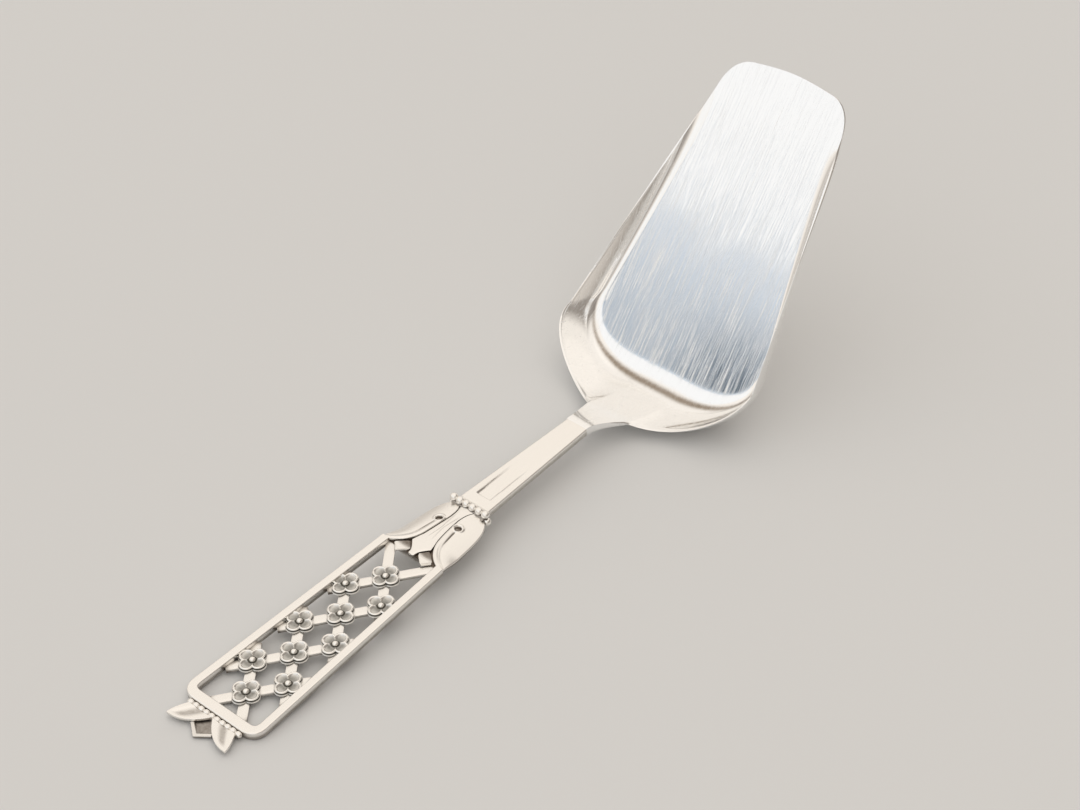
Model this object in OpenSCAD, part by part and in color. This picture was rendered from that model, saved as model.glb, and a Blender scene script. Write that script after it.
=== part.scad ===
// Cake server: a dished blade on a cranked neck, with a pierced trellis handle. Millimetres.
// The handle is laid out in its own plane: rail tops at z = 0, collar at x = 0, blade towards +x.
// At the end the whole is tilted until the end of the handle and the heel of the blade touch z = 0.

/* [Blade] */
// length of the floor on the middle line, from the heel line to the tip
floor_len = 97; // [80:0.5:120]
// distance of the flat floor's back edge ahead of the heel line
pan_back = 8.6; // [5:0.1:13]
// width across the rim where the heel rounding ends
heel_w = 64.6; // [48:0.2:80]
// width across the rim where the tip rounding starts
tip_w = 43; // [30:0.2:60]
// length of the heel rounding
heel_round = 13.2; // [6:0.1:20]
// length of the tip rounding
tip_round = 11.3; // [4:0.1:16]
// how far the tip corners stand back from the middle of the tip
tip_bow = 1.8; // [0:0.1:5]
// height of the side wall at the heel
wall_h = 9.4; // [4:0.2:14]
// width of the side wall seen from above
wall_run = 4.2; // [2:0.1:6]
// height of the back wall at the neck
back_h = 21.3; // [14:0.1:28]
// distance of the back wall's top behind the heel line
back_run = 7.9; // [4:0.1:12]
// hollowness of the wall, 1 is a flat wall
bowl = 3.2; // [1.4:0.05:4]
// thickness of the sheet
sheet = 1.2; // [0.8:0.1:2]
// angle between the floor and the plane of the handle
floor_rise = 49.5; // [35:0.5:58]
// distance of the heel ahead of the collar
heel_x = 78; // [66:0.5:95]
// depth of the heel below the rail tops
heel_drop = 16; // [10:0.5:24]

/* [Neck and stem] */
// width of the neck where it leaves the back wall
neck_flare = 14.2; // [10:0.1:20]
// width of the stem at the seam with the neck
neck_w = 7.2; // [5:0.1:10]
// width of the stem at the collar
stem_w = 10.1; // [7:0.1:11]
// length of the stem from the middle of the collar to the seam
stem_len = 43.5; // [34:0.5:48]
// thickness of the stem
stem_t = 2.6; // [2:0.1:4]
// fall of the stem towards the blade, in degrees
stem_slope = 2.6; // [0:0.1:6]
// depth of the stem's top below the rail tops, at the collar
stem_sink = 1.15; // [0.5:0.05:2]
// width of the sunken panel
panel_w = 4.6; // [3:0.1:6]
// length of the sunken panel, which fades out towards the blade
panel_len = 18; // [10:0.5:26]
// distance of the sunken panel from the middle of the collar
panel_start = 5.4; // [3:0.1:10]
// depth of the sunken panel at its collar end
panel_depth = 0.5; // [0.2:0.05:1]

/* [Collar] */
// length of the collar band along the handle
collar_len = 2.4; // [1.6:0.1:4]
// width of the collar band
collar_w = 11; // [9:0.1:14]
// height of the collar band
collar_h = 3; // [2.6:0.1:4]
// depth of the band's top below the rail tops
collar_sink = 1.2; // [0.5:0.05:1.6]
// radius of a collar bead
bead_r = 1.05; // [0.7:0.05:1.05]
// beads along the top of the collar
bead_count = 6; // [4:1:6]

/* [Handle frame] */
// half width of the frame at the shoulder
shoulder_half = 10.56; // [8:0.02:14]
// half width of the frame at its end
end_half = 13; // [10:0.02:17]
// distance of the frame's front ends behind the collar
shoulder_s = 22.06; // [20:0.02:26]
// distance of the frame's end behind the collar
end_s = 91.54; // [86:0.02:110]
// width of a side rail
rail_w = 2.42; // [1.8:0.02:3.5]
// width of the end bar
bar_w = 2.97; // [2:0.01:4]
// thickness of the frame
frame_t = 2.5; // [2:0.1:4]
// length of the rounding at the frame's outer end corners
frame_round = 4.2; // [2:0.1:5]
// length of the rounding at the frame's inner end corners
inner_round = 2.6; // [0.5:0.1:3.5]

/* [Trellis] */
// spacing of the crossings along the handle
pitch = 16.5; // [14:0.05:18]
// sideways offset of the side rows of crossings
row_w = 6.23; // [5:0.01:8]
// distance of the first crossing behind the collar
first_s = 32.16; // [30:0.02:36]
// width of a strap
strap_w = 2.7; // [1.8:0.05:3.4]
// thickness of a strap
strap_t = 1.1; // [0.8:0.05:1.3]

/* [Blossoms] */
// distance of a petal's middle from the pellet
petal_out = 2.05; // [1.6:0.05:2.6]
// radius of a petal
petal_r = 1.9; // [1.4:0.05:2.3]
// thickness of a blossom
blossom_t = 1; // [0.7:0.05:1.3]
// radius of the hollow in a petal, at its top
cup_r = 1.55; // [1:0.05:1.9]
// depth of the hollow in a petal
cup_depth = 0.6; // [0.3:0.05:0.8]
// radius of a pellet
pellet_r = 0.85; // [0.6:0.05:1.1]

/* [Shoulder] */
// half width of the shoulder at the collar
root_half = 5.8; // [4.6:0.1:6.4]
// fullness of the shoulder's outer edge near the collar
shoulder_full = 9.6; // [7:0.1:11]
// thickness of the base plate
plate_t = 2; // [1.4:0.1:2.4]
// radius of the shoulder's crown, which falls away to both sides
crown_r = 19.3; // [14:0.1:40]
// depth of the crown below the rail tops at the collar
crown_sink = 0.8; // [0.2:0.05:1]
// rise of the crown towards the rails, per millimetre
crown_rise = 0.1; // [0.05:0.01:0.15]
// thickness of the raised shoulder pieces
raised_t = 1.2; // [0.8:0.1:1.4]
// radius of an eyelet
eyelet_r = 0.9; // [0.5:0.05:1]
// gap left between neighbouring raised pieces
seat_gap = 0.25; // [0.1:0.05:0.4]
// thickness of the drop
drop_t = 1; // [0.6:0.1:1.2]
// thickness of a tab
tab_t = 0.65; // [0.4:0.05:1]

/* [Finial] */
// length of the beaded bar across the handle
bar_len = 18.3; // [14:0.1:22]
// radius of a bead of the bar
bar_bead_r = 0.9; // [0.7:0.05:1]
// beads of the bar
bar_beads = 10; // [7:1:10]
// distance of the leaf tips behind the frame's end
leaf_out = 7; // [5:0.1:10]
// distance of a leaf tip from the middle line
leaf_reach = 10.2; // [8:0.1:12]
// thickness of a leaf
leaf_t = 0.8; // [0.6:0.05:1]
// depth of a leaf's top below the rail tops
leaf_sink = 0.1; // [0:0.05:0.3]
// distance of the bud's point behind the leaf tips
bud_out = 0.9; // [0:0.1:2]
// thickness of the bud
bud_t = 0.7; // [0.5:0.05:0.9]

/* [Hidden] */
$fn = 48;

// straight and rounded runs between points
function mixed(a, b, t) = a + (b - a) * t;
function bend(a, b, c, t) = (1 - t) * (1 - t) * a + 2 * t * (1 - t) * b + t * t * c;
function swept(a, b, c, d, t) = mixed(bend(a, b, c, t), bend(b, c, d, t), t);
function flip(p) = [p.x, -p.y, p.z];

// rim of the blade, left half, from the neck round the heel to the tip: forward, left, up from the floor
tip_u = floor_len - tip_round;
side_flare = (heel_w - tip_w) / 2 / (tip_u - heel_round);
function side_v(u) = heel_w / 2 - (u - heel_round) * side_flare;
function side_h(u) = wall_h * (tip_u - u) / (tip_u - heel_round);
neck_mid = [-back_run, 0, back_h];
neck_root = [-back_run, neck_flare / 2, back_h];
back_pull = [-back_run, 0.56 * heel_w / 2, 0.52 * back_h];
heel_u = 0.33 * heel_round;
heel_pull = [heel_u, side_v(heel_u), 0.73 * back_h];
side_start = [heel_round, heel_w / 2, wall_h];
side_end = [tip_u, tip_w / 2, 0];
tip_corner = [floor_len - tip_bow, side_v(floor_len - tip_bow), 0];
tip_mid = [floor_len, 0, 0];
tip_start = mixed(tip_mid, tip_corner, 0.62);
tip_push = [floor_len, 0.4 * tip_start.y, 0];
rim_half = concat(
    [for (i = [0:3]) mixed(neck_mid, neck_root, i / 4)],
    [for (i = [0:15]) swept(neck_root, back_pull, heel_pull, side_start, i / 16)],
    [for (i = [0:9]) mixed(side_start, side_end, i / 10)],
    [for (i = [0:7]) bend(side_end, tip_corner, tip_start, i / 8)],
    [for (i = [0:5]) bend(tip_start, tip_push, tip_mid, i / 5)]);

// edge of the flat floor, left half, point for point with the rim
floor_mid = [pan_back, 0, 0];
floor_neck = [pan_back, 0.4 * neck_flare, 0];
floor_pull = [pan_back, 0.68 * heel_w / 2, 0];
floor_u = pan_back + 1.17 * heel_round;
floor_side = [floor_u, side_v(floor_u) - wall_run, 0];
floor_corner_u = pan_back + 0.08 * heel_round;
floor_corner = [floor_corner_u, side_v(floor_corner_u) - wall_run + 0.3, 0];
floor_end = [tip_u - 1, side_v(tip_u - 1) - wall_run, 0];
floor_tip_u = floor_len - 0.75 * wall_run;
floor_tip_corner = [floor_tip_u - tip_bow, side_v(floor_tip_u - tip_bow) - wall_run, 0];
floor_tip_mid = [floor_tip_u, 0, 0];
floor_tip = mixed(floor_tip_mid, floor_tip_corner, 0.62);
floor_push = [floor_tip_u, 0.4 * floor_tip.y, 0];
floor_half = concat(
    [for (i = [0:3]) mixed(floor_mid, floor_neck, i / 4)],
    [for (i = [0:15]) swept(floor_neck, floor_pull, floor_corner, floor_side, i / 16)],
    [for (i = [0:9]) mixed(floor_side, floor_end, i / 10)],
    [for (i = [0:7]) bend(floor_end, floor_tip_corner, floor_tip, i / 8)],
    [for (i = [0:5]) bend(floor_tip, floor_push, floor_tip_mid, i / 5)]);

// both halves, closed
last = len(rim_half) - 1;
count = 2 * last;
rim = concat(rim_half, [for (i = [last - 1:-1:1]) flip(rim_half[i])]);
edge = concat(floor_half, [for (i = [last - 1:-1:1]) flip(floor_half[i])]);

// wall between floor edge and rim, as rings, and the same surface one sheet lower
rings = 7;
function wall_top(j, x) = [mixed(edge[j].x, rim[j].x, x), mixed(edge[j].y, rim[j].y, x),
    rim[j].z * pow(x, bowl)];
function wall_under(j, x) =
    let (out = [rim[j].x - edge[j].x, rim[j].y - edge[j].y])
    let (run = norm(out))
    let (rise = rim[j].z * bowl * pow(x, bowl - 1))
    let (slant = norm([run, rise]))
    let (side = sheet * rise / slant / run)
    wall_top(j, x) + [out.x * side, out.y * side, -sheet * run / slant];
function placed(p) = [heel_x + p.x * cos(floor_rise) - p.z * sin(floor_rise), p.y,
    p.x * sin(floor_rise) + p.z * cos(floor_rise) - heel_drop];
top_points = [for (k = [0:rings]) for (j = [0:count - 1]) placed(wall_top(j, k / rings))];
under_points = [for (k = [0:rings]) for (j = [0:count - 1]) placed(wall_under(j, k / rings))];

// neck tab: rows across, from the back wall to the seam with the stem
rows = 8;
across = 4;
seam = [stem_len * cos(stem_slope), 0, -stem_sink - stem_len * sin(stem_slope)];
seam_lead = seam + 3.5 * [cos(stem_slope), 0, -sin(stem_slope)];
neck_top_mid = placed(neck_mid);
function neck_line(q) = bend(neck_top_mid, seam_lead, seam, q);
function neck_way(q) = (1 - q) * (seam_lead - neck_top_mid) + q * (seam - seam_lead);
function neck_up(q) = [neck_way(q).z, 0, -neck_way(q).x] / norm(neck_way(q));
function neck_half(q) = neck_w / 2 + (neck_flare - neck_w) / 2 * pow(1 - q, 2.2);
function neck_thick(q) = mixed(sheet, stem_t, q);
neck_points = [for (r = [1:rows]) for (low = [0, 1]) for (g = [-across:across])
    neck_line(r / rows) + [0, neck_half(r / rows) * g / across, 0]
        - low * neck_thick(r / rows) * neck_up(r / rows)];

// point numbers
function top_at(k, j) = k * count + j % count;
function under_at(k, j) = (rings + 1 + k) * count + j % count;
neck_base = 2 * (rings + 1) * count;
function neck_top_at(r, g) = r == 0 ? top_at(rings, g - across + count)
    : neck_base + (r - 1) * 2 * (2 * across + 1) + g;
function neck_under_at(r, g) = r == 0 ? under_at(rings, g - across + count)
    : neck_base + ((r - 1) * 2 + 1) * (2 * across + 1) + g;
function four(a, b, c, d) = [[a, b, c], [a, c, d]];
centre_points = [placed([floor_len / 2, 0, 0]), placed([floor_len / 2, 0, -sheet])];
centre_top = neck_base + len(neck_points);
centre_under = centre_top + 1;

blade_faces = concat(
    [for (j = [0:count - 1]) [centre_top, top_at(0, j), top_at(0, j + 1)]],
    [for (j = [0:count - 1]) [centre_under, under_at(0, j + 1), under_at(0, j)]],
    [for (k = [0:rings - 1]) for (j = [0:count - 1])
        each four(top_at(k, j + 1), top_at(k, j), top_at(k + 1, j), top_at(k + 1, j + 1))],
    [for (k = [0:rings - 1]) for (j = [0:count - 1])
        each four(under_at(k, j), under_at(k, j + 1), under_at(k + 1, j + 1), under_at(k + 1, j))],
    [for (j = [across:count - across - 1])
        each four(top_at(rings, j + 1), top_at(rings, j), under_at(rings, j), under_at(rings, j + 1))],
    [for (r = [0:rows - 1]) for (g = [0:2 * across - 1])
        each four(neck_top_at(r, g + 1), neck_top_at(r, g), neck_top_at(r + 1, g), neck_top_at(r + 1, g + 1))],
    [for (r = [0:rows - 1]) for (g = [0:2 * across - 1])
        each four(neck_under_at(r, g), neck_under_at(r, g + 1),
            neck_under_at(r + 1, g + 1), neck_under_at(r + 1, g))],
    [for (r = [0:rows - 1]) each four(neck_top_at(r, 2 * across), neck_top_at(r + 1, 2 * across),
        neck_under_at(r + 1, 2 * across), neck_under_at(r, 2 * across))],
    [for (r = [0:rows - 1]) each four(neck_top_at(r + 1, 0), neck_top_at(r, 0),
        neck_under_at(r, 0), neck_under_at(r + 1, 0))],
    [for (g = [0:2 * across - 1]) each four(neck_top_at(rows, g + 1), neck_top_at(rows, g),
        neck_under_at(rows, g), neck_under_at(rows, g + 1))]);

// resting pose: the line under the frame's end that just touches the heel becomes level
contact = [-end_s, 0, -frame_t];
tilt = -min([for (p = under_points) atan2(p.z - contact.z, p.x - contact.x)]);
function level_x(p) = p.x * cos(tilt) - p.z * sin(tilt);
lift = -(contact.x * sin(tilt) + contact.z * cos(tilt));
leaf_s = end_s + leaf_out;
bud_s = leaf_s + bud_out;
front_x = level_x(placed([floor_len, 0, -sheet]));
back_x = level_x([-bud_s, 0, -leaf_sink - leaf_t]);

module rest() {
    translate([-(front_x + back_x) / 2, 0, lift])
        rotate([0, -tilt, 0])
            children();
}

// plan shapes of the handle are drawn with s running back from the collar
function plan(points) = [for (p = points) [-p.x, p.y]];
function mirrored(points) = concat(points, [for (i = [len(points) - 1:-1:0]) [points[i].x, -points[i].y]]);
function rail_half(s) = mixed(shoulder_half, end_half, (s - shoulder_s) / (end_s - shoulder_s));
function rounded_end(s, half, r) = [for (i = [0:6])
    bend([s - r, half], [s, half], [s, half - r], i / 6)];
// a place on the shoulder: share of its length, share of its half width
function spot(a, b) = [a * shoulder_s, b * shoulder_half];
shoulder_edge = [for (i = [0:14])
    swept([collar_len / 2, root_half], [0.118 * shoulder_s, shoulder_full], spot(0.544, 0.858),
        spot(1, 0.986), i / 14)];

module slab(points, z, t) {
    translate([0, 0, z])
        linear_extrude(t)
            polygon(plan(points));
}

// the space inside the frame
opening_end = end_s - bar_w;
opening = mirrored(concat([[shoulder_s, shoulder_half - rail_w]],
    rounded_end(opening_end, rail_half(opening_end) - rail_w, inner_round)));
module inside_frame() {
    slab(opening, -frame_t - 1, frame_t + 2);
}

module blade() {
    color("gainsboro")
        rest()
            polyhedron(points = concat(top_points, under_points, neck_points, centre_points), faces = blade_faces,
                convexity = 6);
}

module stem() {
    fade = atan(panel_depth / panel_len);
    color("silver") rest() difference() {
        translate([0, 0, -stem_sink]) rotate([0, stem_slope, 0]) difference() {
            slab([[0, stem_w / 2], [-stem_len, neck_w / 2], [-stem_len, -neck_w / 2], [0, -stem_w / 2]],
                -stem_t, stem_t);
            translate([panel_start, -panel_w / 2, -panel_depth])
                rotate([0, -fade, 0])
                    cube([1.1 * panel_len, panel_w, 2]);
        }
        translate([collar_len / 2 - 10, -stem_w, -10])
            cube([10, 2 * stem_w, 20]);
    }
}

module collar_band() {
    color("silver") rest()
        translate([-collar_len / 2, -collar_w / 2, -collar_sink - collar_h])
            cube([collar_len, collar_w, collar_h]);
}

// beads sit flat on the band, in a row along its top from side to side, and one lower on each side
bead_seat = 0.35 * bead_r;
bead_step = collar_w / (bead_count - 1);
module collar_beads() {
    color("silver") rest() {
        difference() {
            for (i = [0:bead_count - 1])
                translate([0, (i - (bead_count - 1) / 2) * bead_step, bead_seat - collar_sink])
                    sphere(bead_r);
            translate([-collar_w, -collar_w, -collar_sink - collar_h])
                cube([2 * collar_w, 2 * collar_w, collar_h]);
        }
        for (side = [-1, 1])
            difference() {
                translate([0, side * (collar_w / 2 + bead_seat), -collar_sink - 1.8 * bead_r])
                    rotate([90, 0, 0])
                        sphere(bead_r);
                translate([-collar_w, -collar_w / 2, -2 * collar_w])
                    cube([2 * collar_w, collar_w, 2 * collar_w]);
            }
    }
}

// the space under the crown, lowered by drop: flat along the middle, falling away to both sides
module under_crown(drop) {
    intersection() {
        translate([-3 * shoulder_s, -3 * shoulder_half, -crown_r - drop])
            cube([3 * shoulder_s, 6 * shoulder_half, crown_r]);
        translate([-collar_len / 2, 0, -crown_sink - crown_r - drop])
            rotate([0, atan(crown_rise), 0])
                rotate([0, -90, 0])
                    translate([0, 0, -shoulder_s])
                        cylinder(r = crown_r, h = 4 * shoulder_s, $fn = 160);
    }
}

module shoulder_plate() {
    color("silver") rest() intersection() {
        slab(mirrored(shoulder_edge), -raised_t - plate_t, plate_t);
        under_crown(raised_t);
    }
}

// inner edge of the scroll plate: beside the drop, then swept out to the rail
root_spot = [collar_len / 2, 0.237 * shoulder_half];
waist_edge = concat([root_spot, spot(0.136, 0.161)],
    [for (i = [0:4]) bend(spot(0.272, 0.142), spot(0.521, 0.18), spot(0.68, 0.237), i / 4)]);
scroll_edge = concat(
    [for (i = [0:7])
        bend([shoulder_s, shoulder_half - 0.94 * rail_w], spot(0.902, 0.341), spot(0.68, 0.237), i / 8)],
    [for (i = [len(waist_edge) - 1:-1:0]) waist_edge[i]]);
eyelet = spot(0.372, 0.3125);
module scroll(side) {
    color("silver") rest() scale([1, side, 1]) difference() {
        intersection() {
            slab(concat(shoulder_edge, scroll_edge), -raised_t - plate_t, raised_t + plate_t);
            under_crown(0);
        }
        under_crown(raised_t);
        translate([-eyelet.x, eyelet.y, -4 * raised_t])
            cylinder(r = eyelet_r, h = 8 * raised_t);
    }
}
module left_scroll() { scroll(1); }
module right_scroll() { scroll(-1); }

// long drop that narrows behind the collar, flares, and ends in a short tongue between the tabs
drop_edge = concat(
    [for (p = waist_edge) p - [0, seat_gap]],
    [for (i = [1:4]) bend(spot(0.68, 0.237) - [0, seat_gap], spot(0.771, 0.275), spot(0.834, 0.303), i / 4)],
    [for (i = [0:5]) bend(spot(0.843, 0.303), spot(0.934, 0.123), spot(0.979, 0.1), i / 5)],
    [spot(1.02, 0.085), spot(1.038, 0.038)]);
module drop() {
    color("silver") rest() difference() {
        intersection() {
            slab(mirrored(drop_edge), -raised_t - plate_t, drop_t + plate_t);
            under_crown(raised_t - drop_t);
        }
        under_crown(raised_t);
    }
}

// small lozenge tabs that reach out over the opening
tab_edge = [spot(0.861, 0.327), spot(0.943, 0.166), spot(0.966, 0.133), spot(0.993, 0.152), spot(1.074, 0.35),
    spot(1.088, 0.407), spot(1.074, 0.464), spot(1.015, 0.597), spot(0.988, 0.625), spot(0.961, 0.587)];
module tab(side) {
    color("silver") rest() scale([1, side, 1])
        slab(tab_edge, -raised_t, tab_t);
}
module left_tab() { tab(1); }
module right_tab() { tab(-1); }

module handle_frame() {
    outer = concat([[shoulder_s, shoulder_half]], rounded_end(end_s, end_half, frame_round));
    color("silver") rest() difference() {
        slab(mirrored(outer), -frame_t, frame_t);
        translate([0.5, 0, 0])
            slab(mirrored([[shoulder_s, shoulder_half - rail_w], [shoulder_s + 0.5, shoulder_half - rail_w]]),
                -frame_t - 1, frame_t + 2);
        inside_frame();
    }
}

// straps run both ways through the middle crossings and are halved where they cross
strap_low = -frame_t;
strap_angle = atan(row_w / (pitch / 2));
function middle_s(i) = first_s + i * pitch;
module strap_bar(i, way, z, t) {
    translate([-middle_s(i), 0, z])
        rotate([0, 0, way * strap_angle])
            translate([-2 * pitch, -strap_w / 2, 0])
                cube([4 * pitch, strap_w, t]);
}
module strap(i, way) {
    cut_z = way > 0 ? strap_low + strap_t / 2 : strap_low - 1;
    cut_t = 1 + strap_t / 2;
    color("silver") rest() difference() {
        intersection() {
            strap_bar(i, way, strap_low, strap_t);
            inside_frame();
        }
        for (j = [max(0, i - 1):min(3, i + 1)])
            strap_bar(j, -way, cut_z, cut_t);
    }
}
module strap_a1() { strap(0, 1); }
module strap_a2() { strap(1, 1); }
module strap_a3() { strap(2, 1); }
module strap_a4() { strap(3, 1); }
module strap_b1() { strap(0, -1); }
module strap_b2() { strap(1, -1); }
module strap_b3() { strap(2, -1); }
module strap_b4() { strap(3, -1); }

// a blossom of four cupped petals on a crossing, with a seat for its pellet
blossom_low = strap_low + strap_t;
blossom_top = blossom_low + blossom_t;
cup_ball = (cup_r * cup_r + cup_depth * cup_depth) / 2 / cup_depth;
pellet_z = blossom_top - 0.55;
module blossom(s, y) {
    color("silver") rest() intersection() {
        translate([-s, y, 0]) difference() {
            union() {
                for (turn = [0:90:270])
                    rotate([0, 0, turn])
                        translate([petal_out, 0, blossom_low])
                            cylinder(r = petal_r, h = blossom_t);
            }
            for (turn = [0:90:270])
                rotate([0, 0, turn])
                    translate([petal_out, 0, blossom_top - cup_depth + cup_ball])
                        sphere(cup_ball);
            translate([0, 0, pellet_z])
                sphere(pellet_r);
        }
        inside_frame();
    }
}
module blossom_c1() { blossom(middle_s(0), 0); }
module blossom_c2() { blossom(middle_s(1), 0); }
module blossom_c3() { blossom(middle_s(2), 0); }
module blossom_c4() { blossom(middle_s(3), 0); }
module blossom_l1() { blossom(middle_s(0.5), row_w); }
module blossom_l2() { blossom(middle_s(1.5), row_w); }
module blossom_l3() { blossom(middle_s(2.5), row_w); }
module blossom_r1() { blossom(middle_s(0.5), -row_w); }
module blossom_r2() { blossom(middle_s(1.5), -row_w); }
module blossom_r3() { blossom(middle_s(2.5), -row_w); }

module pellets() {
    color("silver") rest() {
        for (i = [0:3])
            translate([-middle_s(i), 0, pellet_z])
                sphere(pellet_r);
        for (i = [0:2])
            for (side = [-1, 1])
                translate([-middle_s(i + 0.5), side * row_w, pellet_z])
                    sphere(pellet_r);
    }
}

// row of beads, each flattened against the frame's end and where the leaves join
bar_seat = 0.82 * bar_bead_r;
bar_mid = end_s + bar_seat;
bar_back = bar_mid + bar_seat;
bar_z = -frame_t / 2 + 0.15;
module end_bead_bar() {
    step = (bar_len - 2 * bar_bead_r) / (bar_beads - 1);
    color("silver") rest() intersection() {
        union() {
            for (i = [0:bar_beads - 1])
                translate([-bar_mid, (i - (bar_beads - 1) / 2) * step, bar_z])
                    rotate([0, 90, 0])
                        sphere(bar_bead_r);
        }
        translate([-bar_back, -bar_len, -10])
            cube([2 * bar_seat, 2 * bar_len, 20]);
    }
}

// leaf from the back of the bar, its tip out to the side
leaf_root = 0.2;
leaf_edge = concat(
    [[bar_back, leaf_root]],
    [for (i = [0:6]) bend([bar_back, leaf_reach - 2.1], [leaf_s - 2.2, leaf_reach - 0.1],
        [leaf_s, leaf_reach], i / 6)],
    [for (i = [1:9]) bend([leaf_s, leaf_reach], [leaf_s + 0.4, 0.45 * leaf_reach],
        [bar_back + 0.3, leaf_root], i / 9)]);
module leaf(side) {
    color("silver") rest() scale([1, side, 1])
        slab(leaf_edge, -leaf_sink - leaf_t, leaf_t);
}
module left_leaf() { leaf(1); }
module right_leaf() { leaf(-1); }

// pointed bud that shows between the leaves, under their edges
module bud() {
    color("silver") rest()
        slab(mirrored([[bar_back, 2.2], [leaf_s - 1.7, 0.35 * leaf_reach], [bud_s, 0.1]]),
            -leaf_sink - leaf_t - bud_t, bud_t);
}

blade();
stem();
collar_band();
collar_beads();
shoulder_plate();
left_scroll();
right_scroll();
drop();
left_tab();
right_tab();
handle_frame();
strap_a1();
strap_a2();
strap_a3();
strap_a4();
strap_b1();
strap_b2();
strap_b3();
strap_b4();
blossom_c1();
blossom_c2();
blossom_c3();
blossom_c4();
blossom_l1();
blossom_l2();
blossom_l3();
blossom_r1();
blossom_r2();
blossom_r3();
pellets();
end_bead_bar();
left_leaf();
right_leaf();
bud();
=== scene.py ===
# Cake server in silver: a dished blade, a plain stem, a beaded collar and a pierced trellis handle.
import math

import bmesh
import bpy
import numpy as np
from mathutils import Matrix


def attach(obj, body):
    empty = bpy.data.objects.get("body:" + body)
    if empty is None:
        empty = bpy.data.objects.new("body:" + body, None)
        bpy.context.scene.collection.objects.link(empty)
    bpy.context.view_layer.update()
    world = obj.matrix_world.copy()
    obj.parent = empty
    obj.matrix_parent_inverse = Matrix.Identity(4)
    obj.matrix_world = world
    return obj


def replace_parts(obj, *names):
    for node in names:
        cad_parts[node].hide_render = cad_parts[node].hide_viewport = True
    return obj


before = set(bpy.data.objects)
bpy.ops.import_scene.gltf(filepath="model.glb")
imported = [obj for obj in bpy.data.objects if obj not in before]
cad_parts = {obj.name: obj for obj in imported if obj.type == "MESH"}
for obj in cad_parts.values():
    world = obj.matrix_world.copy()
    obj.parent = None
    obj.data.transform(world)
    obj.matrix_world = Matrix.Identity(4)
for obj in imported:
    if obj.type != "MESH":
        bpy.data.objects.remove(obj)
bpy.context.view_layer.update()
scene = bpy.context.scene
scene.view_settings.view_transform = "Standard"

# Measures in millimetres, in the plane of the handle: rail tops at z = 0, collar at x = 0,
# s runs back from the collar, the blade is towards +x.

# Turn, lift and shift that lay the server on the table
TILT, LIFT, SHIFT = math.radians(4.511308304220617), 9.692411349231456, -18.963174164921035

# Blade: its plan, its walls, and its place against the handle
FLOOR_LEN, PAN_BACK, HEEL_W, TIP_W = 97.0, 8.6, 64.6, 43.0
HEEL_ROUND, TIP_ROUND, TIP_BOW = 13.2, 11.3, 1.8
WALL_H, WALL_RUN, BACK_H, BACK_RUN, BOWL, SHEET = 9.4, 4.2, 21.3, 7.9, 3.2, 1.1
FLOOR_RISE, HEEL_X, HEEL_DROP = math.radians(49.5), 78.0, 16.0

# Neck, stem and the panel sunk into the stem
NECK_FLARE, NECK_W, NECK_LEAD, NECK_POWER = 14.2, 7.2, 3.5, 2.2
STEM_W, STEM_LEN, STEM_T, STEM_SLOPE, STEM_SINK = 10.1, 43.5, 2.6, math.radians(2.6), 1.15
PANEL_W, PANEL_LEN, PANEL_START, PANEL_DEPTH = 4.6, 18.0, 5.4, 0.5

# Collar and its beads, with shares of their radius for their seat, their fullness and the side beads' place
COLLAR_LEN, COLLAR_W, COLLAR_H, COLLAR_SINK, BEAD_R, BEAD_COUNT = 2.4, 11.0, 3.0, 1.2, 1.05, 6
BEAD_SEAT, BEAD_FULL, SIDE_BEAD_DROP = 0.35, 1.14, 1.8

# Frame of the handle
SHOULDER_HALF, END_HALF, SHOULDER_S, END_S = 10.56, 13.0, 22.06, 91.54
RAIL_W, BAR_W, FRAME_T, FRAME_ROUND = 2.42, 2.97, 2.5, 3.4

# Trellis: lattice, straps, blossoms and pellets
PITCH, ROW_W, FIRST_S, MIDDLE_COUNT, SIDE_COUNT = 16.5, 6.23, 32.16, 4, 3
STRAP_W, STRAP_T, STRAP_SEAT, LAP_HALF, LAP_STEP = 2.7, 1.1, 0.35, 1.4, 0.001
PETAL_OUT, PETAL_R, BLOSSOM_T, CUP_DEPTH, PELLET_R, PELLET_SINK = 2.05, 1.9, 1.0, 0.6, 0.85, 0.55
CUP_RIM, CUP_FOOT, HEART_OUT, HEART_IN, PETAL_FALL_W = 0.3, 0.95, 1.5, 1.05, 0.25

# Shoulder: plates, crown, eyelets, drop and tabs
ROOT_HALF, SHOULDER_FULL, PLATE_T, RAISED_T, DROP_T, TAB_T = 5.8, 9.6, 2.0, 1.2, 1.0, 0.65
PLATE_INSET, PLATE_SAG, SCROLL_SINK = 1.6, 1.85, 0.3
CROWN_R, CROWN_SINK, CROWN_RISE = 19.3, 0.8, 0.1
CROWN_SOFT, LEVEL_FROM, LEVEL_TO, LEVEL_SHARE = 0.35, 15, 24, 0.9
EYELET_S, EYELET_Y, EYELET_R, SEAT_GAP = 8.2, 3.3, 0.9, 0.25
RIB_OFF, RIB_SPREAD, GROOVE_OFF, GROOVE_SPREAD, GROOVE_DRIFT = 0.75, 0.6, 1.75, 0.2, 0.02
RING_OFF, RING_SPREAD, PIT_SOFT = 0.45, 0.3, 0.1

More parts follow.
